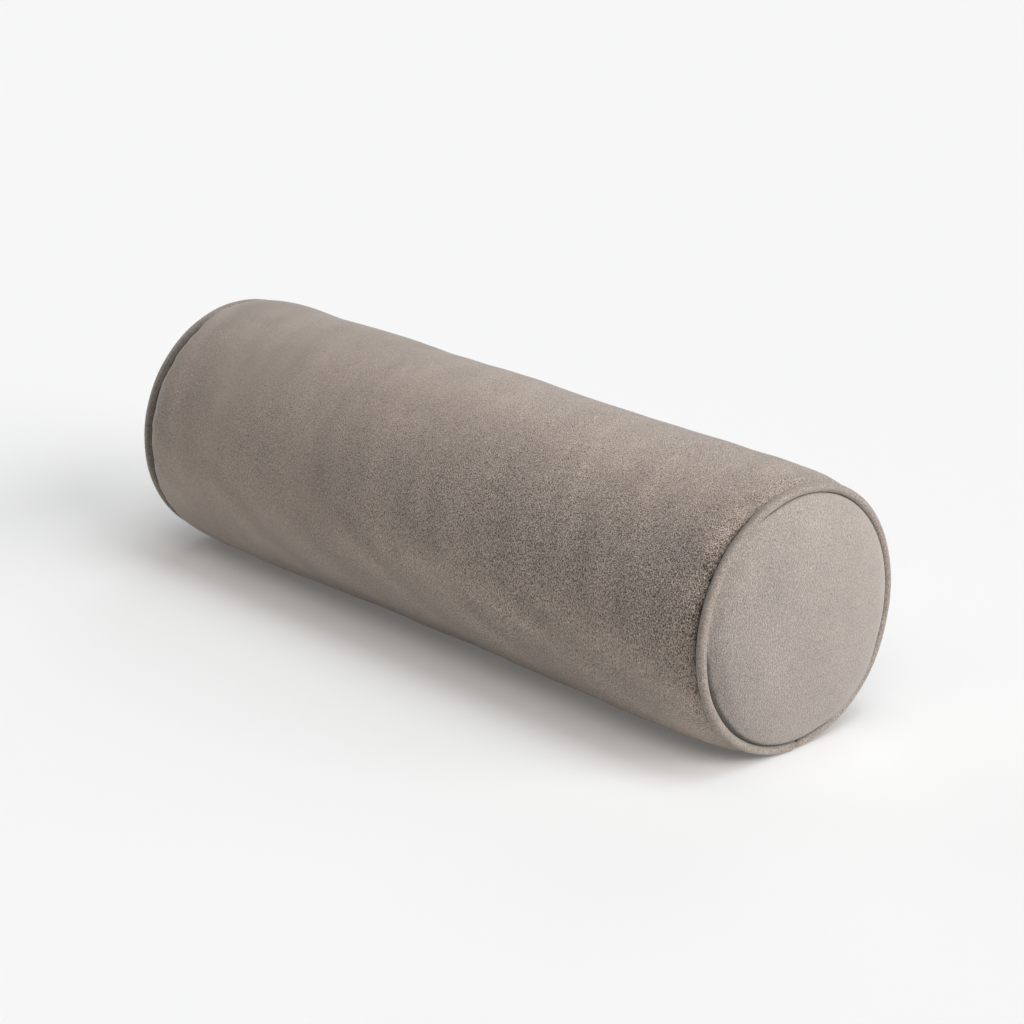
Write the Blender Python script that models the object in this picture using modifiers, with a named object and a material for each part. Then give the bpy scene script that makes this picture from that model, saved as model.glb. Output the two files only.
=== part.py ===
"""Bolster: a filled round tube of soft suede-like cloth, closed by a crowned round panel at each
end, with a cloth-covered cord (the piping) sewn into each end seam.

Metres, +Z up. The tube lies along X. Its underside has settled flat on the plane z = 0, and the
origin is on that plane under the middle of the tube.
"""

import math

import bmesh
import bpy
from mathutils import Matrix

# Driving dimensions, in metres
TUBE_DIAMETER = 0.200
SEAM_TO_SEAM = 0.600  # from the plane of one end seam to that of the other
SEAM_RADIUS = 0.0920  # the circle that tube, piping and end panel are sewn along
SHOULDER_LENGTH = 0.030  # the stretch at each end where the tube draws in to its seam
PIPING_DIAMETER = 0.0075
PANEL_CROWN = 0.0100  # how far the filling pushes the middle of an end panel out
PANEL_THICKNESS = 0.002
SWELL = 0.0006  # how much fuller the tube is at mid-length than beside its shoulders
SETTLE = 0.0045  # how far the filled tube sinks onto the surface under its own weight
SOFTENING = 0.0022  # the height over which the underside rounds off into its flat
BELLY = 0.0010  # how far the low sides bulge out over the sunken underside
GAP = 0.0003  # the clearance between two pieces that touch

# An end panel is flat in the middle and falls away ever more steeply towards the piping
CROWN_FLATNESS = 2.6
CROWN_EDGE = 0.45

# How finely the round shapes are faceted
STEPS_ROUND = 60
STEPS_PIPING = 10
STEPS_TUBE = 8
STEPS_SHOULDER = 6
STEPS_CROWN = 6
STEPS_NOTCH = 4

# Sizes that follow
TUBE_RADIUS = TUBE_DIAMETER / 2
PIPING_RADIUS = PIPING_DIAMETER / 2
SEAM_X = SEAM_TO_SEAM / 2
TUBE_END_X = SEAM_X - SHOULDER_LENGTH
AXIS_HEIGHT = TUBE_RADIUS - SETTLE
BELLY_HEIGHT = 0.35 * TUBE_RADIUS
PANEL_RIM_RADIUS = SEAM_RADIUS - PIPING_RADIUS - GAP
PANEL_RIM_X = SEAM_X + 0.3 * PIPING_RADIUS

TUBE_COLOUR = (0.262, 0.230, 0.204, 1.0)
PANEL_COLOUR = (0.282, 0.248, 0.222, 1.0)
PIPING_COLOUR = (0.275, 0.241, 0.215, 1.0)
NAP_ROUGHNESS = 0.92


def clear_scene():
    for item in list(bpy.data.objects):
        bpy.data.objects.remove(item, do_unlink=True)


def cloth_material(name, colour):
    material = bpy.data.materials.new(name)
    material.use_nodes = True
    shader = material.node_tree.nodes["Principled BSDF"]
    shader.inputs["Base Color"].default_value = colour
    shader.inputs["Roughness"].default_value = NAP_ROUGHNESS
    shader.inputs["Metallic"].default_value = 0.0
    material.diffuse_color = colour
    return material


# --- The profile lines: points (distance from the axis, place along it) of the near half ---


def crown(r):
    """How far an end panel stands out at distance r from its middle, above its own rim."""
    share = min(r / PANEL_RIM_RADIUS, 1.0)
    return PANEL_CROWN * (1.0 - share**CROWN_FLATNESS) ** CROWN_EDGE


def crown_profile(inset):
    """The line of an end panel from its pole to its rim, moved into the filling by inset."""
    outer = []
    for i in range(STEPS_CROWN + 1):
        r = PANEL_RIM_RADIUS * math.sin(0.5 * math.pi * i / STEPS_CROWN)
        outer.append((r, PANEL_RIM_X + crown(r)))
    profile = [(0.0, outer[0][1] - inset)]
    for i in range(1, len(outer)):
        before, after = outer[i - 1], outer[min(i + 1, len(outer) - 1)]
        along_r, along_x = after[0] - before[0], after[1] - before[1]
        length = math.hypot(along_r, along_x)
        r, x = outer[i]
        profile.append((r + inset * along_x / length, x - inset * along_r / length))
    return profile


def shoulder_point(turn):
    """A point of the drawn-in shoulder: turn 0 is where it leaves the tube, pi/2 the seam."""
    r = SEAM_RADIUS + (TUBE_RADIUS - SEAM_RADIUS) * math.cos(turn)
    return r, SEAM_X - SHOULDER_LENGTH * (1.0 - math.sin(turn))


def turn_at_piping(notch_radius):
    """The turn at which the shoulder reaches the notch that the piping lies in."""
    low, high = 0.0, 0.5 * math.pi
    for _ in range(40):
        middle = 0.5 * (low + high)
        r, x = shoulder_point(middle)
        if math.hypot(x - SEAM_X, r - SEAM_RADIUS) > notch_radius:
            low = middle
        else:
            high = middle
    return low


def angle_round_seam(point):
    r, x = point
    return math.atan2(r - SEAM_RADIUS, x - SEAM_X) % math.tau


def half_body_profile():
    """From the pole of the filled end, past the piping's notch, to the middle of the tube."""
    profile = crown_profile(PANEL_THICKNESS + 1.5 * GAP)
    notch_radius = PIPING_RADIUS + GAP
    last_turn = turn_at_piping(notch_radius)
    rim_angle = angle_round_seam(profile[-1])
    shoulder_angle = angle_round_seam(shoulder_point(last_turn))
    for i in range(1, STEPS_NOTCH + 1):
        angle = rim_angle + (shoulder_angle - rim_angle) * i / STEPS_NOTCH
        r = SEAM_RADIUS + notch_radius * math.sin(angle)
        profile.append((r, SEAM_X + notch_radius * math.cos(angle)))
    for i in range(1, STEPS_SHOULDER + 1):
        profile.append(shoulder_point(last_turn * (1.0 - i / STEPS_SHOULDER)))
    for i in range(1, STEPS_TUBE // 2 + 1):
        share = 1.0 - 2.0 * i / STEPS_TUBE
        r = TUBE_RADIUS + SWELL * math.cos(0.5 * math.pi * share)
        profile.append((r, TUBE_END_X * share))
    return profile


# --- Shapes ---


def turned_object(name, profile, collection):
    """The profile line turned about Z."""
    mesh = bpy.data.meshes.new(name)
    edges = [(i, i + 1) for i in range(len(profile) - 1)]
    mesh.from_pydata([(r, 0.0, z) for r, z in profile], edges, [])
    turned = bpy.data.objects.new(name, mesh)
    collection.objects.link(turned)
    screw = turned.modifiers.new("Turn", "SCREW")
    screw.axis = "Z"
    screw.angle = math.tau
    screw.steps = STEPS_ROUND
    screw.render_steps = STEPS_ROUND
    screw.use_merge_vertices = True
    screw.merge_threshold = 0.00001
    return turned


def carry_out_modifiers(shaped):
    graph = bpy.context.evaluated_depsgraph_get()
    mesh = bpy.data.meshes.new_from_object(shaped.evaluated_get(graph))
    shaped.modifiers.clear()
    shaped.data = mesh


def lay_and_settle(mesh, end=1):
    """Lays a shape made about Z along X, facing end, and lets it sink onto the surface."""
    mesh.transform(Matrix.Rotation(0.5 * math.pi * end, 4, "Y"))
    mesh.transform(Matrix.Translation((0.0, 0.0, AXIS_HEIGHT)))
    shape = bmesh.new()
    shape.from_mesh(mesh)
    for vertex in shape.verts:
        height = vertex.co.z
        spread = (height - BELLY_HEIGHT) / BELLY_HEIGHT
        vertex.co.y *= 1.0 + BELLY / TUBE_RADIUS * math.exp(-spread * spread)
        if height <= -SOFTENING:
            vertex.co.z = 0.0
        elif height < SOFTENING:
            vertex.co.z = (height + SOFTENING) ** 2 / (4.0 * SOFTENING)
    shape.to_mesh(mesh)
    shape.free()


def finish(mesh, name, material):
    mesh.name = name
    mesh.materials.clear()
    mesh.materials.append(material)
    mesh.shade_smooth()


def make_body(collection):
    """The tube of cloth and its filling, as one solid whose ends carry the end panels."""
    half = half_body_profile()
    profile = half + [(r, -x) for r, x in reversed(half[:-1])]
    body = turned_object("body", profile, collection)
    carry_out_modifiers(body)
    lay_and_settle(body.data)
    finish(body.data, "body", cloth_material("tube_suede", TUBE_COLOUR))


def make_end_panel(name, end, material, collection):
    """A disc of cloth over the filled end. end is 1 for the near end and -1 for the far one."""
    panel = turned_object(name, crown_profile(0.0), collection)
    cloth = panel.modifiers.new("Cloth", "SOLIDIFY")
    cloth.thickness = PANEL_THICKNESS
    cloth.offset = -1.0
    carry_out_modifiers(panel)
    lay_and_settle(panel.data, end)
    finish(panel.data, name, material)


def make_piping(name, end, material, collection):
    """The covered cord in the end seam."""
    bpy.ops.mesh.primitive_torus_add(
        major_radius=SEAM_RADIUS,
        minor_radius=PIPING_RADIUS,
        major_segments=STEPS_ROUND,
        minor_segments=STEPS_PIPING,
    )
    ring = bpy.context.object
    ring.name = name
    for other in list(ring.users_collection):
        other.objects.unlink(ring)
    collection.objects.link(ring)
    ring.data.transform(Matrix.Translation((0.0, 0.0, SEAM_X)))
    lay_and_settle(ring.data, end)
    finish(ring.data, name, material)


def main():
    clear_scene()
    collection = bpy.data.collections.new("bolster")
    bpy.context.scene.collection.children.link(collection)
    make_body(collection)
    panel_cloth = cloth_material("panel_suede", PANEL_COLOUR)
    piping_cloth = cloth_material("piping_suede", PIPING_COLOUR)
    for side, end in (("near", 1), ("far", -1)):
        make_end_panel(f"end_panel_{side}", end, panel_cloth, collection)
        make_piping(f"piping_{side}", end, piping_cloth, collection)


main()
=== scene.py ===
# %% [markdown]
# # A round bolster with piped ends
#
# A bolster is a long round cushion. This one is a tube of suede-like cloth, closed at each end by a
# round panel, with a cloth-covered cord, the piping, sewn into the seam between them. The CAD part
# already says where everything is, so this lesson only makes the looks: each plain solid is
# replaced by a piece of cloth in the same place. All lengths are in metres.

import math

import bmesh
import bpy
import numpy as np
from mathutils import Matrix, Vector


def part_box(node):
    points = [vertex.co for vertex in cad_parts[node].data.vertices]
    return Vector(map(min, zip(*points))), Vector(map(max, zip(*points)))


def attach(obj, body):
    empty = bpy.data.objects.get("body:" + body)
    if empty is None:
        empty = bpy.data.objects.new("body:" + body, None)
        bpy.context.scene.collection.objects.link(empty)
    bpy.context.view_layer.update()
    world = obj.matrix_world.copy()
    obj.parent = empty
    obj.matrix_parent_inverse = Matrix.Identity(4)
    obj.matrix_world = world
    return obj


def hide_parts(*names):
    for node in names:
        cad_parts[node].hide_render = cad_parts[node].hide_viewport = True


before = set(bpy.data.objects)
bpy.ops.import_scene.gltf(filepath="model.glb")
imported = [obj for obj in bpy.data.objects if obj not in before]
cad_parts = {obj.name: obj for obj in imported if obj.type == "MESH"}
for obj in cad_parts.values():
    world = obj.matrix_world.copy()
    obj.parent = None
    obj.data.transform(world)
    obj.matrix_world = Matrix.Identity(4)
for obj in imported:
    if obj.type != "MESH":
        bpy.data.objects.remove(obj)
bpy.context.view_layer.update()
scene = bpy.context.scene

# %% [markdown]
# ## Measure the frame
#
# Every size that two pieces share is read from the CAD solids. The near piping is a plain ring, so
# its box gives the radius of the cord, the plane of the seam and the circle that is sewn. Its top
# also gives the height of the tube's axis, because the underside has sunk a little.

# %% Seam, cord and tube sizes
ring_low, ring_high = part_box("piping_near")
tube_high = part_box("body")[1]
CORD_RADIUS = (ring_high.x - ring_low.x) / 2
SEAM_X = (ring_high.x + ring_low.x) / 2
SEAM_RADIUS = ring_high.y - CORD_RADIUS
AXIS_HEIGHT = ring_high.z - SEAM_RADIUS - CORD_RADIUS
TUBE_RADIUS = tube_high.z - AXIS_HEIGHT
print(f"cord {CORD_RADIUS:.5f}, seam {SEAM_RADIUS:.4f} at {SEAM_X:.4f}, axis {AXIS_HEIGHT:.4f}")
print(f"tube radius {TUBE_RADIUS:.4f}")

# %% [markdown]
# ## The camera
#
# A long lens from a little above shows the near end and the length of the tube together. The
# camera aims at a point beside the middle of the tube, which sets the framing without a shift.

# %% Camera
VIEW_FROM = Vector((1.6235, -1.4971, 0.8942))
VIEW_ALONG = Vector((-0.68725, 0.64133, -0.34116))
LENS = 111.69

camera = bpy.data.objects.new("camera", bpy.data.cameras.new("camera"))
scene.collection.objects.link(camera)
camera.data.lens = LENS
camera.location = VIEW_FROM
camera.rotation_euler = VIEW_ALONG.to_track_quat("-Z", "Y").to_euler()
scene.camera = camera
print("the camera stands", round(VIEW_FROM.length, 2), "m away with a", LENS, "mm lens")

# %% [markdown]
# ## The floor
#
# The cushion stands on a wide floor of pale paper. It reaches so far that its edge lies at the
# horizon, where it meets a backdrop of the same brightness. The paper glows a little. That stands
# for the stray light of a large white room, which keeps the shadow under the cushion from going
# black.

# %% Floor
FLOOR_RADIUS = 20.0
PAPER = (0.735, 0.733, 0.723, 1.0)
PAPER_GLOW = 0.11


def link_piece(name, mesh):
    piece = bpy.data.objects.new(name, mesh)
    scene.collection.objects.link(piece)
    return piece


bpy.ops.mesh.primitive_circle_add(vertices=96, radius=FLOOR_RADIUS, fill_type="NGON")
floor = bpy.context.object
floor.name = "floor"
paper = bpy.data.materials.new("floor_paper")
paper.use_nodes = True
paper_shader = paper.node_tree.nodes["Principled BSDF"]
paper_shader.inputs["Base Color"].default_value = PAPER
paper_shader.inputs["Emission Color"].default_value = PAPER
paper_shader.inputs["Emission Strength"].default_value = PAPER_GLOW / PAPER[0]
paper_shader.inputs["Roughness"].default_value = 0.95
paper_shader.inputs["Specular IOR Level"].default_value = 0.0
floor.data.materials.append(paper)
print("the floor reaches", FLOOR_RADIUS, "m out")

# %% [markdown]
# ## The light
#
# Suns with a wide disc light everything evenly, wherever it stands, and throw soft shadows. The
# strongest ones come from the near end and from behind, so the long front side lies in soft shade.
# Weak ones all round keep the shadow on the floor light. Those from above are a little cooler and
# those in front a little warmer, as light from a window and from a room is. The camera sees a
# backdrop as bright as the floor, which lights nothing itself.

# %% Lamps and backdrop
BACKDROP = (0.93, 0.93, 0.92, 1.0)
DISC = math.radians(30)
SUNS = {
    # name: (degrees round from +X towards +Y, degrees up, strength, warmth)
    "near_end": (0, 30, 1.25, 0.0),
    "key": (30, 30, 1.0, 0.0),
    "key_high": (30, 70, 0.85, -0.12),
    "back_low": (60, 10, 0.3, 0.0),
    "back": (120, 30, 0.35, -0.03),
    "far_end": (180, 30, 0.25, 0.0),
    "top": (0, 90, 0.5, -0.12),
    "front": (315, 50, 0.75, 0.12),
    "front_fill": (270, 50, 0.22, 0.12),
}


def add_sun(name, round_, up, strength, warmth):
    sun = bpy.data.lights.new(name, "SUN")
    sun.angle = DISC
    sun.energy = strength
    sun.color = (1 + warmth / 2, 1.0, 1 - warmth / 2)
    holder = link_piece(name, sun)
    away = Vector((math.cos(math.radians(round_)), math.sin(math.radians(round_)), 0.0))
    away = away * math.cos(math.radians(up)) + Vector((0.0, 0.0, math.sin(math.radians(up))))
    holder.rotation_euler = away.to_track_quat("Z", "Y").to_euler()


def backdrop_world():
    """A world that the camera sees as a pale backdrop and that gives no light."""
    world = bpy.data.worlds.new("backdrop")
    world.use_nodes = True
    nodes, links = world.node_tree.nodes, world.node_tree.links
    paths = nodes.new("ShaderNodeLightPath")
    nodes["Background"].inputs["Color"].default_value = BACKDROP
    links.new(paths.outputs["Is Camera Ray"], nodes["Background"].inputs["Strength"])
    return world


for sun_name, sun_facts in SUNS.items():
    add_sun(sun_name, *sun_facts)
scene.world = backdrop_world()
scene.view_settings.view_transform = "Standard"
print(len(SUNS), "suns")

# %% [markdown]
# ## Round coordinates
#
# A bolster is easiest to think of by how far along it a point is, how far round, and how far out.
# Each piece is shaped about the X axis with these three, and then laid down: lifted to its height
# and let sink, so that the underside is flat where the cushion rests. The near end is a little
# fuller low at the back, where the stuffing has slid, and cloth, cord and panel all follow it.

# %% Places along, round and out
SOFTENING = 0.0022  # the height over which the underside rounds off into its flat
BELLY = 0.0010  # how far the low sides bulge out over the sunken underside
BELLY_HEIGHT = 0.35 * TUBE_RADIUS
FULLER = 0.016  # how much farther out the near end is pushed on its fullest side
FULLEST_SIDE = -140.0


def bump(distance, half_width):
    """A soft hump: 1 at distance 0, and nearly nothing at twice its half width."""
    return np.exp(-((distance / half_width) ** 2))


def eased(share):
    """A smooth step from 0 to 1."""
    share = np.clip(share, 0, 1)
    return share * share * (3 - 2 * share)


def points_of(mesh):
    points = np.empty(3 * len(mesh.vertices), np.float32)
    mesh.vertices.foreach_get("co", points)
    return points.reshape(-1, 3).astype(float)


def set_points(mesh, points):
    mesh.vertices.foreach_set("co", points.astype(np.float32).ravel())
    mesh.update()


def places_of(points):
    """(along, round, out): round is in degrees, 0 at the top and 90 at the front."""
    around = np.degrees(np.arctan2(-points[:, 1], points[:, 2]))
    return points[:, 0], around, np.hypot(points[:, 1], points[:, 2])


def points_at(along, around, out):
    angle = np.radians(around)
    return np.stack([along, -out * np.sin(angle), out * np.cos(angle)], axis=1)


def degrees_from(around, middle):
    """The signed angle from middle to each place, the short way round."""
    return (around - middle + 180.0) % 360.0 - 180.0


def laid_down(points):
    """The same points, fuller at the near end, lifted to the axis and let sink onto the floor."""
    along, around, out = places_of(points)
    fuller = bump(degrees_from(around, FULLEST_SIDE), 25) * eased((along - 0.22) / 0.06)
    x, y, z = points_at(along, around, out * (1 + FULLER * fuller)).T
    z = z + AXIS_HEIGHT
    y = y * (1 + BELLY / TUBE_RADIUS * np.exp(-(((z - BELLY_HEIGHT) / BELLY_HEIGHT) ** 2)))
    rounded = (z + SOFTENING) ** 2 / (4 * SOFTENING)
    z = np.where(z <= -SOFTENING, 0.0, np.where(z < SOFTENING, rounded, z))
    return np.stack([x, y, z], axis=1)


def turned(name, line, steps):
    """Turns a line of (along the axis, out from it) points once round the X axis."""
    outline = bpy.data.meshes.new(name)
    edges = [(i, i + 1) for i in range(len(line) - 1)]
    outline.from_pydata([(x, 0.0, r) for x, r in line], edges, [])
    piece = link_piece(name, outline)
    screw = piece.modifiers.new("Turn", "SCREW")
    screw.axis = "X"
    screw.steps = screw.render_steps = steps
    screw.use_merge_vertices = True
    screw.merge_threshold = 0.00001
    return piece


def carry_out_modifiers(piece):
    """Makes what the modifiers do the piece's own mesh."""
    graph = bpy.context.evaluated_depsgraph_get()
    made = bpy.data.meshes.new_from_object(piece.evaluated_get(graph))
    piece.modifiers.clear()
    piece.data = made
    made.shade_smooth()
    return made


print("the flat underside is", round(2000 * math.sqrt(TUBE_RADIUS**2 - AXIS_HEIGHT**2)), "mm wide")

# %% [markdown]
# ## The line of the tube
#
# Real bolster cloth is a rectangle sewn into a tube whose ends are drawn in to a smaller circle.
# The line below runs from the middle of the filled end, round the notch in which the piping
# lies, over the drawn-in shoulder and on to the middle of the tube. Its mirror image makes the
# other half. Rings lie closest where the cloth is drawn in, because the small folds are there.

# %% Tube line
GAP = 0.0003  # what the plain outlines keep clear of the cord, before the cloth swells
SHOULDER_LENGTH = 0.030
SHOULDER_RADIUS = 0.100
PANEL_CROWN = 0.0100
PANEL_THICKNESS = 0.002
CROWN_FLATNESS = 2.6
CROWN_EDGE = 0.45
PANEL_RIM_RADIUS = SEAM_RADIUS - CORD_RADIUS - GAP
PANEL_RIM_X = SEAM_X + 0.3 * CORD_RADIUS
NOTCH_RADIUS = CORD_RADIUS + GAP
DRAWN_IN_BAND = 0.060  # the stretch beside each shoulder that has close rings
CAP_RINGS, NOTCH_RINGS, SHOULDER_RINGS, BAND_RINGS, MIDDLE_RINGS = 8, 12, 14, 12, 26
CAGE_STEPS = 160  # columns round the tube


def panel_line(steps, inset=0.0):
    """Pole to rim of an end panel, moved by inset into the filling along the cloth's normal."""
    line = []
    for i in range(steps + 1):
        share = math.sin(0.5 * math.pi * i / steps)
        stand = PANEL_CROWN * (1 - share**CROWN_FLATNESS) ** CROWN_EDGE
        line.append((PANEL_RIM_X + stand, PANEL_RIM_RADIUS * share))
    moved = [(line[0][0] - inset, 0.0)]
    for i in range(1, len(line)):
        before, after = line[i - 1], line[min(i + 1, steps)]
        run, rise = after[0] - before[0], after[1] - before[1]
        length = math.hypot(run, rise)
        moved.append((line[i][0] - inset * rise / length, line[i][1] + inset * run / length))
    return moved


def shoulder_point(turn):
    """Turn 0 is where the shoulder leaves the tube, and a quarter turn is the seam."""
    x = SEAM_X - SHOULDER_LENGTH * (1 - math.sin(turn))
    return x, SEAM_RADIUS + (SHOULDER_RADIUS - SEAM_RADIUS) * math.cos(turn)


def turn_at_notch():
    low, high = 0.0, 0.5 * math.pi
    for _ in range(40):
        middle = 0.5 * (low + high)
        x, r = shoulder_point(middle)
        if math.hypot(x - SEAM_X, r - SEAM_RADIUS) > NOTCH_RADIUS:
            low = middle
        else:
            high = middle
    return low


def angle_round_seam(point):
    return math.atan2(point[1] - SEAM_RADIUS, point[0] - SEAM_X) % math.tau


def half_tube_line():
    """The line, and how many of its points are behind the panel or under the piping."""
    line = panel_line(CAP_RINGS, PANEL_THICKNESS + 1.5 * GAP)
    last_turn = turn_at_notch()
    start, end = angle_round_seam(line[-1]), angle_round_seam(shoulder_point(last_turn))
    for i in range(1, NOTCH_RINGS + 1):
        angle = start + (end - start) * i / NOTCH_RINGS
        line.append(
            (SEAM_X + NOTCH_RADIUS * math.cos(angle), SEAM_RADIUS + NOTCH_RADIUS * math.sin(angle))
        )
    hidden = len(line)
    for i in range(1, SHOULDER_RINGS + 1):
        line.append(shoulder_point(last_turn * (1 - (i / SHOULDER_RINGS) ** 1.5)))
    band_end = SEAM_X - SHOULDER_LENGTH - DRAWN_IN_BAND
    for i in range(1, BAND_RINGS + 1):
        line.append((band_end + DRAWN_IN_BAND * (1 - i / BAND_RINGS), SHOULDER_RADIUS))
    for i in range(1, MIDDLE_RINGS + 1):
        line.append((band_end * (1 - i / MIDDLE_RINGS), SHOULDER_RADIUS))
    return line, hidden


half_line, hidden_points = half_tube_line()
tube_line = half_line + [(-x, r) for x, r in reversed(half_line[:-1])]
seam_start_x = half_line[hidden_points - 1][0]
print(len(tube_line), "rings,", hidden_points, "of them hidden at each end")

# %% [markdown]
# ## Filling the tube with a cloth simulation
#
# Stuffing pushes the cloth out everywhere except where it is sewn. Blender's Cloth does the same
# with a pressure inside a closed mesh. The cage starts a little slim, its ends are pinned, and at
# the seam only the gathers are pinned, one every 15 mm or so, so that the cloth swells between
# them. Fifteen short steps are enough, and then the result is made the piece's own mesh.

# %% Slim cage, pins and pressure
SLIM = 0.0024  # how much slimmer than full the cage starts at mid-length
GATHER_PITCH = 0.015
GATHER_PULL = 0.0005
MOST_SWELL = 0.006
SIMULATED_FRAMES = 15


def slimness(along):
    """How much slimmer than full the cage starts: nothing at the seams, most at mid-length."""
    return SLIM * np.clip(1 - (along / SEAM_X) ** 2, 0, 1) ** 0.35


def gathered_columns(chance):
    """Angles round the seam at which a gather is tacked, in degrees, unevenly spaced."""
    pitch = math.degrees(GATHER_PITCH / SEAM_RADIUS)
    count = round(360 / pitch)
    return [(i + chance.uniform(-0.3, 0.3)) * 360 / count for i in range(count)]


gathers = {end: gathered_columns(np.random.default_rng(seed)) for end, seed in ((1, 21), (-1, 22))}
body = turned("bolster_body", tube_line, CAGE_STEPS)
carry_out_modifiers(body)
along, around, out = places_of(points_of(body.data))
hidden = np.abs(along) > seam_start_x - 0.00001
hidden |= out < SEAM_RADIUS - 0.5 * CORD_RADIUS
print(len(body.data.vertices), "points in the cage,", int(hidden.sum()), "of them pinned")

# %% Simulate the filling
def face_out(mesh):
    shape = bmesh.new()
    shape.from_mesh(mesh)
    bmesh.ops.recalc_face_normals(shape, faces=shape.faces)
    shape.to_mesh(mesh)
    shape.free()


def swell(piece, pinned):
    """Pressure pushes the free cloth out for a few frames, no point farther than MOST_SWELL."""
    before = points_of(piece.data)
    sewn = piece.vertex_groups.new(name="sewn")
    sewn.add(np.flatnonzero(pinned).tolist(), 1.0, "REPLACE")
    cloth = piece.modifiers.new("Filling", "CLOTH")
    cloth.point_cache.frame_end = SIMULATED_FRAMES
    cloth.settings.vertex_group_mass = sewn.name
    cloth.settings.effector_weights.gravity = 0.0
    cloth.settings.use_pressure = True
    cloth.settings.uniform_pressure_force = 400.0
    cloth.settings.mass = 0.01
    cloth.settings.compression_stiffness = 5.0
    scene.frame_end = SIMULATED_FRAMES
    for number in range(1, SIMULATED_FRAMES + 1):
        scene.frame_set(number)
    moved = points_of(carry_out_modifiers(piece)) - before
    distance = np.linalg.norm(moved, axis=1, keepdims=True)
    set_points(piece.data, before + moved * np.minimum(1, MOST_SWELL / np.maximum(distance, 1e-9)))
    scene.frame_set(1)
    piece.vertex_groups.clear()
    return distance.max()


def subdivide(piece):
    finer = piece.modifiers.new("Finer", "SUBSURF")
    finer.levels = finer.render_levels = 1
    carry_out_modifiers(piece)


tacked = np.zeros(len(along), bool)
first_free = ~hidden & (np.abs(along) > seam_start_x - 0.0022)
for end, angles in gathers.items():
    for angle in angles:
        close = np.abs(degrees_from(around, angle)) < 0.5 * 360 / CAGE_STEPS
        tacked |= first_free & close & (along * end > 0)
out = out - np.where(hidden, 0.0, slimness(along)) - np.where(tacked, GATHER_PULL, 0.0)
set_points(body.data, points_at(along, around, out))
face_out(body.data)
print("the filling moved the cloth by up to", round(1000 * swell(body, hidden | tacked), 2), "mm")
subdivide(body)
print(len(body.data.polygons), "faces after one subdivision")

# %% [markdown]
# ## Unevenness that a hand can feel
#
# A filled tube is never a perfect cylinder. The stuffing leaves slow swells and hollows, the
# gathers leave short folds beside each seam, and on top the cloth ripples where it was pressed
# together along its length. All of it is low relief, two millimetres at the most, laid over the
# simulated form as sums of soft bumps and valleys. At the front of each seam the stitches pull
# hardest, so there the cloth also turns down round the cord into a crease. Beside the seams the
# finished cloth is sunk into the cord by a millimetre or so.

# %% Swells, waves and folds to add up
SWELLS = (
    # along, round, half its length, half its angle, height
    (0.21, 140, 0.060, 30, 0.0013),
    (-0.05, 140, 0.035, 30, -0.0013),
    (0.045, 140, 0.030, 25, -0.0005),
    (-0.255, -22, 0.030, 25, 0.0009),
    (-0.01, -22, 0.050, 25, 0.0009),
    (0.12, -22, 0.035, 25, -0.0007),
    (-0.10, -22, 0.020, 25, -0.0004),
)
FOLD_WIDTH = 0.0024  # half the width of a fold at the seam
FOLD_WIDENING = 0.09
DEEP_LEAN = -0.3
DEEP_FOLDS = (
    # round, depth, reach: at the near end, on the upper front
    (24, 0.0011, 0.020),
    (33, 0.0009, 0.014),
    (42, 0.0010, 0.016),
    (54, 0.0013, 0.022),
    (67, 0.0007, 0.012),
)


def soft_patches(along, around, rows):
    """The sum of soft round patches, one for each (along, round, length, angle, height)."""
    total = np.zeros(len(along))
    for middle, angle, half_length, half_angle, height in rows:
        across = bump(degrees_from(around, angle), half_angle)
        total += height * bump(along - middle, half_length) * across
    return total


def slow_waves(along, around, seed, pitch_along, turns, count=24):
    """Smooth unevenness with no repeat: many slow waves over the tube, summed to about 1."""
    chance = np.random.default_rng(seed)
    total = np.zeros(len(along))
    for _ in range(count):
        frequency = chance.uniform(-1, 1) * math.tau / pitch_along
        times_round = chance.integers(-turns, turns + 1)
        phase = chance.uniform(0, math.tau)
        total += np.cos(frequency * along + times_round * np.radians(around) + phase)
    return total / math.sqrt(count / 2)


def fold(along, around, end, angle, depth, reach, lean):
    """One short valley that runs away from a seam, leaning, and widens as it goes."""
    from_seam = SEAM_X - along * end
    sideways = np.radians(degrees_from(around, angle)) * SEAM_RADIUS - lean * from_seam
    half_width = FOLD_WIDTH + FOLD_WIDENING * np.clip(from_seam, 0, 0.05)
    return -depth * bump(sideways, half_width) * np.exp(-np.clip(from_seam, 0, 1) / reach)


def gather_folds(along, around):
    """Short valleys that run away from each seam at the gathers, and a few deep ones."""
    total = np.zeros(len(along))
    for end, angles in gathers.items():
        chance = np.random.default_rng(31 + end)
        for angle in angles:
            depth, reach = chance.uniform(0.00015, 0.00050), chance.uniform(0.012, 0.028)
            total += fold(along, around, end, angle, depth, reach, chance.uniform(-0.25, 0.25))
    for angle, depth, reach in DEEP_FOLDS:
        total += fold(along, around, 1, angle, depth, reach, DEEP_LEAN)
    return total


print(len(gathers[1]) + len(DEEP_FOLDS), "folds beside the near seam,", len(SWELLS), "swells")

# %% Lay the relief on the tube
CLOSING_SEAM = -124.875  # low at the back, where the tube's two long edges are sewn together
COLUMN = 180.0 / CAGE_STEPS  # the angle between two columns after the subdivision
SLOW_WAVES, SMALL_WAVES = 0.00030, 0.00010  # heights of the unevenness all over the tube
VALLEY_DEPTH = 0.0009
DIP_DEPTH = 0.0004  # the wider dip on both sides of the closing seam
STITCH_PITCH = 0.011  # from one small pull of the stitches to the next
RIPPLE_HEIGHT = 0.00022
RIPPLE_PITCH = 0.021
LEAST_TURN = 8.0  # how far the cloth turns down round the cord on top and behind, in degrees
FRONT_TURN = 50.0  # how much farther it turns down on the front
CREASE_REACH = 0.0032


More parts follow.
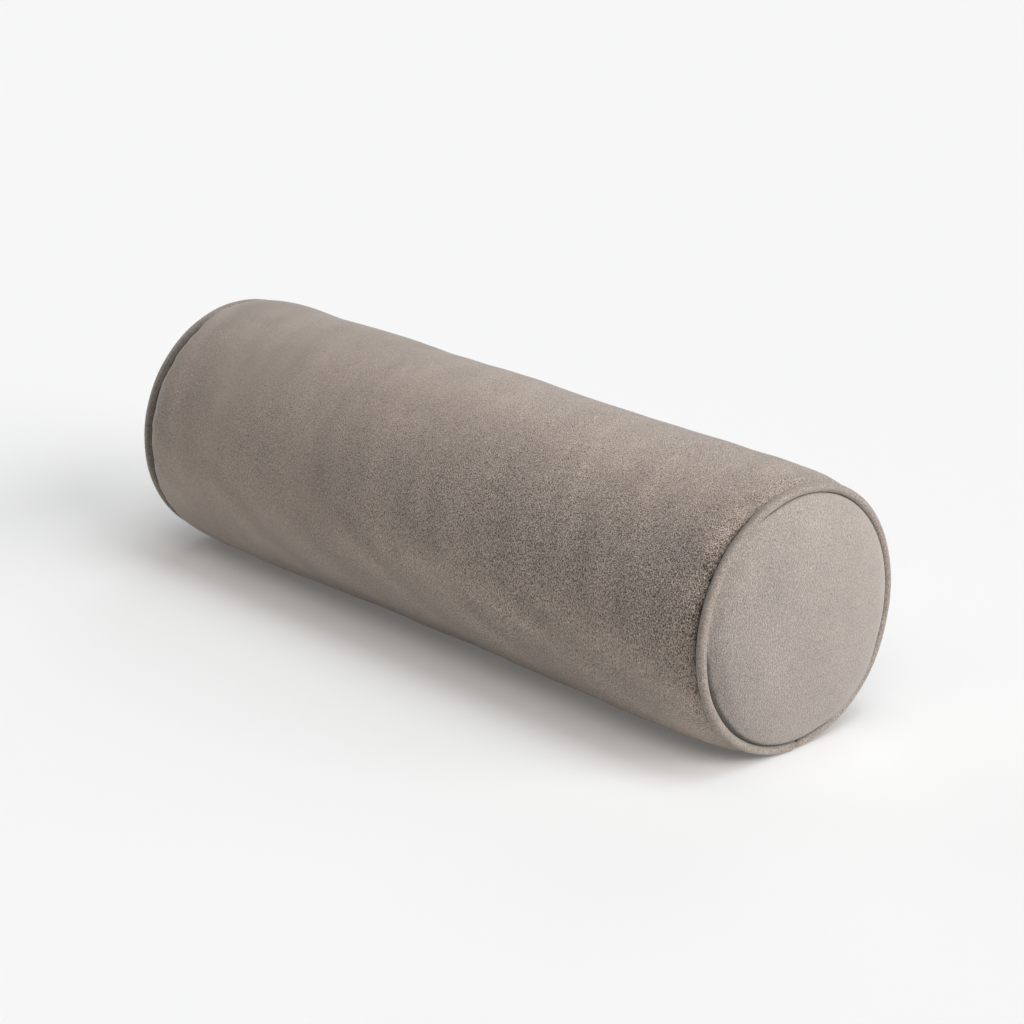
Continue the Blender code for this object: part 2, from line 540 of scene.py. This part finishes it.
def closing_seam(along, around):
    """The valley over the closing seam, with the small pulls of its stitches."""
    off = np.abs(degrees_from(around, CLOSING_SEAM))
    pulls = 1 + 0.25 * np.cos(math.tau * along / STITCH_PITCH)
    valley = VALLEY_DEPTH * pulls * np.clip(1 - off / COLUMN, 0, 1)
    return -valley - DIP_DEPTH * bump(off, 2.6 * COLUMN)


def top_ripples(along, around):
    """Ripples that run round the tube on its upper front, a finger's width apart."""
    place = bump(along - 0.11, 0.075) * bump(degrees_from(around, 32), 26)
    bent = along + 0.004 * np.sin(np.radians(around) * 5)
    return RIPPLE_HEIGHT * place * np.cos(math.tau * bent / RIPPLE_PITCH)


def in_front(around):
    """1 on the front, where the seam is pulled in most, and 0 on the top and at the back."""
    return eased((around - 10) / 30) * eased((132 - around) / 45)


def crease_turn(around, side):
    """How far the cloth beside the seam turns down round the cord, in degrees."""
    uneven = 1 + 0.2 * np.sin(np.radians(around * 9 + 40 * side)) * np.sin(np.radians(around * 23))
    return (LEAST_TURN + FRONT_TURN * in_front(around)) * uneven


def turned_down(along, around, out):
    """(along, out, depth) with the cloth beside each seam turned down into a crease."""
    side = np.where(along < 0, -1.0, 1.0)
    off, up = np.abs(along) - SEAM_X, out - SEAM_RADIUS
    reach, angle = np.hypot(off, up), np.degrees(np.arctan2(up, off)) % 360
    near = np.exp(-np.clip(reach - NOTCH_RADIUS, 0, 1) / CREASE_REACH)
    near = near * (1 - eased((angle - 140) / 110)) * eased((angle - 60) / 30)
    turn = crease_turn(around, side) * near
    angle = np.radians(angle + turn)
    along = (SEAM_X + reach * np.cos(angle)) * side
    return along, SEAM_RADIUS + reach * np.sin(angle), turn / (LEAST_TURN + FRONT_TURN)


along, around, out = places_of(points_of(body.data))
rest_along = along
along, out, crease = turned_down(along, around, out)
relief = SLOW_WAVES * slow_waves(along, around, 5, 0.12, 4)
relief += SMALL_WAVES * slow_waves(along, around, 6, 0.035, 14)
relief += gather_folds(along, around) + closing_seam(along, around) + top_ripples(along, around)
relief += soft_patches(along, around, SWELLS)
relief *= eased((seam_start_x - np.abs(rest_along)) / 0.004)
points = laid_down(points_at(along, around, out + relief))
set_points(body.data, points)
body_places = along, around, out
print("relief from", *np.round(1000 * np.array([relief.min(), relief.max()]), 2), "mm")

# %% [markdown]
# ## End panels
#
# Each end is a round panel, cut flat and pushed out by the filling, so it is nearly flat in the
# middle and falls away steeply to the seam. The line is turned like the tube's, front and back,
# and the piece is one thin shell of cloth. In places the rim meets the cord flush, and elsewhere
# a fine groove is left between them.

# %% Panel shell
PANEL_STEPS = 320
PANEL_RINGS = 44
PANEL_BACK_RINGS = 14
RIM_TURN = 17.0  # where the rim lies beside the cord: degrees about it from its inner side
FLUSH_TURN = 52.0  # how much farther round the cord the rim lies where it is flush
FLUSH_PRESS = 1.6 * GAP  # how much closer a flush rim lies, which sets it just inside the cord
RIM_SLOPE = 0.33  # how steeply the panel leaves the cord where it meets it flush
PANEL_WAVES = 0.00022
SCALLOP_DEPTH = 0.0007  # of the small hollows beside the seam, low in front


def panel_shell_line():
    front = panel_line(PANEL_RINGS)
    back = panel_line(PANEL_BACK_RINGS, PANEL_THICKNESS)
    return front + back[::-1]


def flush_rim(around):
    """1 where the panel meets the cord flush, with no groove: on the upper front, and low behind."""
    front = eased((around - 16) / 14) * eased((98 - around) / 14)
    behind = 0.8 * eased((around + 166) / 14) * eased((-108 - around) / 25)
    return np.maximum(front, behind)


def end_panel(name, end, seed, snug):
    """A panel. Snug is how far its rim follows flush_rim: wholly (1) or not at all (0)."""
    panel = turned(name, panel_shell_line(), PANEL_STEPS)
    carry_out_modifiers(panel)
    along, around, out = places_of(points_of(panel.data))
    share = np.clip(out / PANEL_RIM_RADIUS, 0, 1)
    flush = snug * flush_rim(around)
    turn = np.radians(RIM_TURN + FLUSH_TURN * flush)
    reach = CORD_RADIUS + GAP - FLUSH_PRESS * flush
    rim_x, rim_out = SEAM_X + reach * np.sin(turn), SEAM_RADIUS - reach * np.cos(turn)
    crown = PANEL_RIM_X + PANEL_CROWN * (1 - share**CROWN_FLATNESS) ** CROWN_EDGE
    ramp = rim_x + RIM_SLOPE * (1 - share) * PANEL_RIM_RADIUS
    flush = flush * eased((share - 0.90) / 0.08)
    free = eased((1 - share) / 0.12)
    y, z = out * np.sin(np.radians(around)), out * np.cos(np.radians(around))
    waves = slow_waves(y, np.degrees(z / 0.02), seed, 0.06, 1)
    relief = free * PANEL_WAVES * waves + (1 - flush) * (rim_x - PANEL_RIM_X) * share**12
    relief += flush * (ramp - crown)
    scallops = 0.6 + 0.4 * np.cos(np.radians(around * 21 + 30 * np.sin(np.radians(around * 5))))
    scallops *= bump(share - 0.94, 0.045) * bump(degrees_from(around, 105), 45)
    along = (along + relief - SCALLOP_DEPTH * scallops) * end
    out = out * (1 + (rim_out / PANEL_RIM_RADIUS - 1) * share**4)
    set_points(panel.data, laid_down(points_at(along, around, out)))
    face_out(panel.data)
    panel.data.shade_smooth()
    return panel


panels = {
    "near": end_panel("bolster_end_near", 1, 41, snug=1.0),
    "far": end_panel("bolster_end_far", -1, 42, snug=0.2),
}
print("each panel has", len(panels["near"].data.polygons), "faces")

# %% [markdown]
# ## Piping
#
# The piping is a strip of the same cloth, cut on the bias and wrapped round a cord. Its thickness
# wanders a little, the bias cloth wrinkles across the bend, and where the strip's tail is folded
# under and lapped over its start there is a small notch and a step. Both laps are kept low, the
# near one at the very bottom.

# %% Piping rings
PIPING_STEPS = 960
PIPING_SIDES = 22
WRINKLES = 150  # in each strip of bias cloth
THINNER = 0.00008  # how much thinner than in CAD the cord is, to leave room for its unevenness
LAPS = {"near": 180.0, "far": -150.0}  # where each strip's tail is lapped over its start
LAP_OVER = 0.00065  # how far the folded tail stands proud of the strip
LAP_UNDER = 0.00025  # how far the strip's start is pressed in beside it
LAP_NOTCH = 0.00110
LAP_FADE = 9.0  # degrees over which the lap's two sides fade out


def ring_places(points):
    """(around, about): degrees round the cushion, and the angle about the cord itself."""
    along, around, out = places_of(points)
    return around, np.arctan2(out - SEAM_RADIUS, np.abs(along) - SEAM_X)


def bias_wrinkles(around, about, seed):
    chance = np.random.default_rng(seed)
    total = np.zeros(len(around))
    for _ in range(WRINKLES):
        middle, depth = chance.uniform(-180, 180), chance.uniform(0.00002, 0.00009)
        lean, half_width = chance.uniform(0.2, 1.0), chance.uniform(0.35, 0.9)
        side = chance.uniform(0, math.tau)
        off = degrees_from(around, middle) - lean * np.degrees(np.sin(about - side)) * 0.04
        total -= depth * bump(off, half_width) * (0.5 + 0.5 * np.cos(about - side))
    return total


def lap_offset(around, about, lap):
    """Degrees round from the slanting end of the folded tail."""
    return degrees_from(around, lap) + 1.2 * np.sin(about)


def lap_step(around, about, lap):
    """The folded tail lies over the strip's start, so one side of the fold stands proud."""
    off = lap_offset(around, about, lap)
    height = np.where(off <= 0, LAP_OVER, -LAP_UNDER)
    return height * np.exp(-np.abs(off) / LAP_FADE) - LAP_NOTCH * bump(off - 0.35, 0.60)


def piping(name, end, lap, seed):
    bpy.ops.mesh.primitive_torus_add(
        major_radius=SEAM_RADIUS,
        minor_radius=CORD_RADIUS,
        major_segments=PIPING_STEPS,
        minor_segments=PIPING_SIDES,
    )
    ring = bpy.context.object
    ring.name = name
    points = points_of(ring.data)
    points = np.stack([(points[:, 2] + SEAM_X) * end, points[:, 1], points[:, 0]], axis=1)
    around, about = ring_places(points)
    wander = 0.00006 * slow_waves(np.zeros(len(around)), around, seed, 1.0, 16)
    thickness = CORD_RADIUS - THINNER + wander + bias_wrinkles(around, about, seed + 1)
    thickness += lap_step(around, about, lap)
    along = (SEAM_X + thickness * np.cos(about)) * end
    points = points_at(along, around, SEAM_RADIUS + thickness * np.sin(about))
    set_points(ring.data, laid_down(points))
    face_out(ring.data)
    ring.data.shade_smooth()
    return ring


pipings = {
    "near": piping("bolster_piping_near", 1, LAPS["near"], 51),
    "far": piping("bolster_piping_far", -1, LAPS["far"], 53),
}
print("each piping has", len(pipings["near"].data.polygons), "faces")

# %% [markdown]
# ## How the nap lies, and painted light and shade
#
# Suede shows every stroke of a hand. Two numbers are written on each point of the cloth: how light
# it is painted there, and how ruffled its nap is. The lightness holds the nap's own strokes, and it
# also holds painted light and shade. The tube has strokes that run round it on the upper side,
# slanting strokes low at the front, and bands and soft patches of painted light and shade: a lighter
# top, a darker front and underside, light from the floor low on the near end, and the light and
# shade of folds beside the near seam, with painted shade in the crease at each seam. The panel is
# painted lighter towards the back and the top, where the lamps light it, and darker low in front and
# in the groove at its rim. The piping is painted lighter along its crest, which is rubbed and
# catches the light, and painted darker with shade where it is tucked in.

# %% Write the nap and the painted light and shade on the points
ROUND_STROKES = 0.030  # how much lighter or darker the strokes that run round the tube are
SLANTING_STROKES = 0.058
CORD_RUFFLE = 0.8
LAP_SHADE = 0.8  # how much darker a piping is in the notch of its lap
LIGHT_AND_SHADE_BANDS = (
    # bands of painted light and shade - round, half its angle, lightness at the far end, what the near
    # end adds
    (14, 20, 0.05, 0.24),
    (70, 17, -0.08, -0.05),
    (105, 10, 0.04, 0.0),
)
PAINTED_LIGHT_AND_SHADE_PATCHES = (
    # patches of painted light and shade - along, round, half its length, half its angle, lightness:
    # the last ones lie beside the seam and paint the light and shade of its folds
    (0.10, 66, 0.022, 26, -0.10),
    (0.16, 40, 0.025, 40, 0.07),
    (-0.23, 95, 0.050, 20, 0.05),
    (-0.10, 25, 0.050, 18, 0.04),
    (-0.25, 68, 0.040, 22, -0.08),
    (0.26, 138, 0.060, 14, 0.22),
    (-0.02, 139, 0.170, 9, -0.42),
    (0.00, -7, 0.220, 8, 0.09),
    (-0.02, 40, 0.035, 10, 0.15),
    (0.16, 40, 0.018, 8, 0.13),
    (0.03, 97, 0.050, 8, 0.20),
    (-0.26, 108, 0.030, 12, 0.14),
    (0.24, 82, 0.020, 10, -0.14),
    (-0.24, 12, 0.018, 7, -0.12),
    (0.27, 14, 0.020, 7, -0.13),
    (0.275, 125, 0.016, 14, 0.17),
    (0.290, 28, 0.008, 4, 0.12),
    (0.289, 38, 0.010, 4, 0.12),
    (0.286, 47, 0.012, 5, 0.16),
    (0.288, 23, 0.010, 3, -0.18),
    (0.268, 51, 0.022, 9, -0.15),
    (0.288, 54, 0.008, 4, -0.16),
    (0.286, 63, 0.008, 5, 0.10),
    (0.282, 88, 0.014, 14, -0.12),
)


def write_lightness_and_ruffle(piece, lightness, ruffle):
    for label, values in (("nap_and_painted_light", lightness), ("ruffle", ruffle)):
        layer = piece.data.attributes.new(label, "FLOAT", "POINT")
        layer.data.foreach_set("value", np.asarray(values, np.float32))


def strokes(along, around, seed, lean, width, length, count=40):
    """Long soft stripes that lean from straight round (0) to straight along (90 degrees)."""
    chance = np.random.default_rng(seed)
    arc = np.radians(around) * TUBE_RADIUS
    total = np.zeros(len(along))
    for _ in range(count):
        tilt = math.radians(lean + chance.normal(0, 9))
        across = along * math.cos(tilt) - arc * math.sin(tilt)
        down = along * math.sin(tilt) + arc * math.cos(tilt)
        pitch, phase = width * chance.uniform(0.6, 1.6), chance.uniform(0, math.tau)
        drift = math.tau / length * chance.uniform(-1, 1)
        total += np.cos(math.tau / pitch * across + drift * down + phase)
    return total / math.sqrt(count / 2)


def tube_nap_and_painted_light(along, around):
    """(lightness, ruffle) of the tube's cloth: its nap, and painted light and shade."""
    nearer = eased((along + 0.24) / 0.32)
    front = 1 - eased((np.abs(around) - 160) / 20)
    low_front = bump(degrees_from(around, 110), 26)
    round_strokes = strokes(along, around, 61, 12, 0.030, 0.25) * front * (1 - low_front)
    slanting = strokes(along, around, 62, 66, 0.036, 0.30) * low_front
    lightness = 1 + ROUND_STROKES * round_strokes + SLANTING_STROKES * slanting
    lightness += 0.030 * slow_waves(along, around, 63, 0.08, 5)
    # painted light and shade in bands: lighter near the top, darker on the front, lighter low in front
    # where the floor lights it
    for middle, half_angle, far_end, near_end in LIGHT_AND_SHADE_BANDS:
        lightness += (far_end + near_end * nearer) * bump(degrees_from(around, middle), half_angle)
    # painted light and shade: the top edge is lighter towards the near end and darker towards the far
    # end
    lightness += 0.4 * along * bump(degrees_from(around, -8), 16)
    # painted light and shade in soft patches: a lighter top edge, a darker underside, folds beside the
    # seam
    lightness += soft_patches(along, around, PAINTED_LIGHT_AND_SHADE_PATCHES)
    # painted shade: darker where the cloth turns down into the crease beside the cord
    lightness *= 1 - 0.25 * crease - 0.65 * eased((crease - 0.40) / 0.30)
    calm = (0.6 - 0.5 * nearer) * bump(degrees_from(around, 115), 30)
    calm += 0.20 * nearer * bump(degrees_from(around, 20), 20)
    rough = 0.60 * nearer**2 * bump(degrees_from(around, 62), 26)
    ruffle = 0.5 + 0.60 * eased((along + 0.2) / 0.4) + 0.12 * slow_waves(along, around, 64, 0.10, 4)
    return lightness, ruffle * (1 + rough - calm)


def panel_nap_and_painted_light(y, z, seed):
    """(lightness, ruffle) of a panel, painted light at back and top and painted shade on its low front
    rim.
    """
    share, around = np.hypot(y, z), np.degrees(np.arctan2(-y, z))
    # painted light: the panel is lighter towards the back and the top, where the lamps light it
    lightness = 1 + 0.10 * (0.8 * y + 0.6 * z)
    lightness += 0.018 * slow_waves(SEAM_RADIUS * y, np.degrees(z * SEAM_RADIUS / 0.03), seed, 0.05, 2)
    # painted light on the upper side, painted shade low in front and along the groove at the rim
    lightness += 0.08 * bump(share - 0.65, 0.25) * bump(degrees_from(around, -10), 50)
    lightness -= 0.08 * bump(share - 0.70, 0.20) * bump(degrees_from(around, 110), 35)
    lightness -= 0.20 * eased((share - 0.76) / 0.18) * bump(degrees_from(around, 108), 36)
    lightness -= 0.75 * bump(share - 0.955, 0.014) * bump(degrees_from(around, 150), 45)
    return lightness, 0.93 - 0.35 * y


def cord_nap_and_painted_light(around, about):
    """(lightness, ruffle) of a piping: painted light on its rubbed crest, painted shade in its tuck.
    """
    crest = bump(degrees_from(about, 10), 45)
    tucked_shade = bump(degrees_from(about, 150), 50)
    shaded = bump(degrees_from(about, 135), 32) * in_front(around)
    groove_shade = bump(degrees_from(about, -75), 22) * bump(degrees_from(around, 155), 45)
    # painted light on the rubbed crest, painted shade where the piping is tucked in, on its front
    # flank and in the groove beside the panel
    lightness = 0.95 + 0.16 * crest - 0.15 * tucked_shade - 0.35 * shaded - 0.65 * groove_shade
    return lightness, CORD_RUFFLE


along, around, out = body_places
write_lightness_and_ruffle(body, *tube_nap_and_painted_light(along, around))
axis_point = np.array([0, 0, AXIS_HEIGHT])
for side, end in (("near", 1), ("far", -1)):
    points = points_of(panels[side].data) - axis_point
    y, z = points[:, 1] / SEAM_RADIUS, points[:, 2] / SEAM_RADIUS
    write_lightness_and_ruffle(panels[side], *panel_nap_and_painted_light(y, z, 65 + end))
    around, about = ring_places(points_of(pipings[side].data) - axis_point)
    lightness, ruffle = cord_nap_and_painted_light(around, np.degrees(about))
    lightness -= LAP_SHADE * bump(lap_offset(around, about, LAPS[side]) - 0.3, 0.7)
    write_lightness_and_ruffle(pipings[side], lightness, np.full(len(around), ruffle))
print("nap written on", len(body.data.vertices), "points of the tube")

# %% [markdown]
# ## Suede-like cloth
#
# The cloth is a soft microfibre suede. Its nap stands in tiny tufts a millimetre or so across, a
# little longer one way because they lean. The tufts drive colour and bump together, and they vary
# in a greyer tone than the cloth's, because what differs is mostly how much light they catch. The
# two numbers on the points drive the strokes and the painted light and shade, and sheen is set on
# the shader itself.

# %% Suede material
TUFT_SCALE = 1650.0
PATCH_SCALE = 60.0
TUFT_LEAN = Vector((0.2, 0.2, -0.95))
TUFT_LENGTH = 2.2
TUFT_HEIGHT = 0.0005
# the same cloth as the tube, in a paler and greyer tone: painted light, as if lit more strongly than
# the tube
PANEL_TONE = (0.322, 0.277, 0.248)


def suede(name, tone, tuft_tone, contrast=0.60, sheen=0.40):
    """Cloth of one tone, with tufts lighter or darker by about contrast times tuft_tone."""
    material = bpy.data.materials.new(name)
    material.use_nodes = True
    nodes, links = material.node_tree.nodes, material.node_tree.links
    shader = nodes["Principled BSDF"]
    shader.inputs["Sheen Weight"].default_value = sheen
    shader.inputs["Sheen Roughness"].default_value = 0.5
    shader.inputs["Sheen Tint"].default_value = (1.0, 0.96, 0.92, 1.0)
    shader.inputs["Specular IOR Level"].default_value = 0.2
    place = nodes.new("ShaderNodeTexCoord")

    def noise(scale, detail, length=1.0):
        """Noise whose features are longer along the lean of the tufts."""
        mapping = nodes.new("ShaderNodeMapping")
        mapping.vector_type = "TEXTURE"
        mapping.inputs["Rotation"].default_value = TUFT_LEAN.to_track_quat("X", "Z").to_euler()
        mapping.inputs["Scale"].default_value = (length, 1.0, 1.0)
        links.new(place.outputs["Object"], mapping.inputs["Vector"])
        texture = nodes.new("ShaderNodeTexNoise")
        texture.inputs["Scale"].default_value = scale
        texture.inputs["Detail"].default_value = detail
        links.new(mapping.outputs["Vector"], texture.inputs["Vector"])
        return texture.outputs["Fac"]

    def spread(value, low, high):
        """Stretches the noise's middle values over low to high."""
        ranged = nodes.new("ShaderNodeMapRange")
        ranged.clamp = False
        ranged.inputs["From Min"].default_value = 0.3
        ranged.inputs["From Max"].default_value = 0.7
        ranged.inputs["To Min"].default_value = low
        ranged.inputs["To Max"].default_value = high
        links.new(value, ranged.inputs["Value"])
        return ranged.outputs["Result"]

    def combine(operation, *values):
        node = nodes.new("ShaderNodeMath")
        node.operation = operation
        for socket, value in zip(node.inputs, values):
            if isinstance(value, float):
                socket.default_value = value
            else:
                links.new(value, socket)
        return node.outputs["Value"]

    def scaled(tone, amount):
        node = nodes.new("ShaderNodeVectorMath")
        node.operation = "SCALE"
        node.inputs[0].default_value = tone
        links.new(amount, node.inputs["Scale"])
        return node.outputs["Vector"]

    def written(label):
        node = nodes.new("ShaderNodeAttribute")
        node.attribute_name = label
        return node.outputs["Fac"]

    tufts = noise(TUFT_SCALE, 0.0, TUFT_LENGTH)
    patches = noise(PATCH_SCALE, 3.0)
    ruffle = written("ruffle")
    speckle = combine("MULTIPLY", spread(tufts, -contrast, contrast), ruffle)
    # the written lightness brings in the nap's strokes and the painted light and shade
    shade = combine("MULTIPLY", spread(patches, 0.955, 1.045), written("nap_and_painted_light"))
    speckled = combine("MULTIPLY", combine("MAXIMUM", speckle, -0.8), shade)
    colour = nodes.new("ShaderNodeVectorMath")
    links.new(scaled(tone, shade), colour.inputs[0])
    links.new(scaled(tuft_tone, speckled), colour.inputs[1])
    links.new(colour.outputs["Vector"], shader.inputs["Base Color"])
    links.new(spread(patches, 0.86, 0.98), shader.inputs["Roughness"])
    relief = nodes.new("ShaderNodeBump")
    relief.inputs["Distance"].default_value = TUFT_HEIGHT
    links.new(ruffle, relief.inputs["Strength"])
    links.new(tufts, relief.inputs["Height"])
    links.new(relief.outputs["Normal"], shader.inputs["Normal"])
    return material


tube_suede = suede("tube_suede", (0.274, 0.224, 0.190), (0.248, 0.226, 0.214))
panel_suede = suede("panel_suede", PANEL_TONE, PANEL_TONE, contrast=0.25, sheen=0.50)
piping_suede = suede("piping_suede", (0.286, 0.242, 0.211), (0.265, 0.243, 0.225), contrast=0.40)
for piece, material in (
    (body, tube_suede),
    (panels["near"], panel_suede),
    (panels["far"], panel_suede),
    (pipings["near"], piping_suede),
    (pipings["far"], piping_suede),
):
    piece.data.materials.clear()
    piece.data.materials.append(material)
print("three tones of one suede-like cloth")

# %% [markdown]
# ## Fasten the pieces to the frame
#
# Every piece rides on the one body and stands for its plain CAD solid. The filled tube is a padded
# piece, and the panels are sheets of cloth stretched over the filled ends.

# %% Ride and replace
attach(body, "root")
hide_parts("body")
for side in ("near", "far"):
    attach(panels[side], "root")
    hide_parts(f"end_panel_{side}")
    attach(pipings[side], "root")
    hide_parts(f"piping_{side}")

# %% [markdown]
# ## Finish
#
# The cloth stands a little proud of the CAD box in places, but the cushion keeps its size.

# %% Bring the scene up to date
bpy.context.view_layer.update()
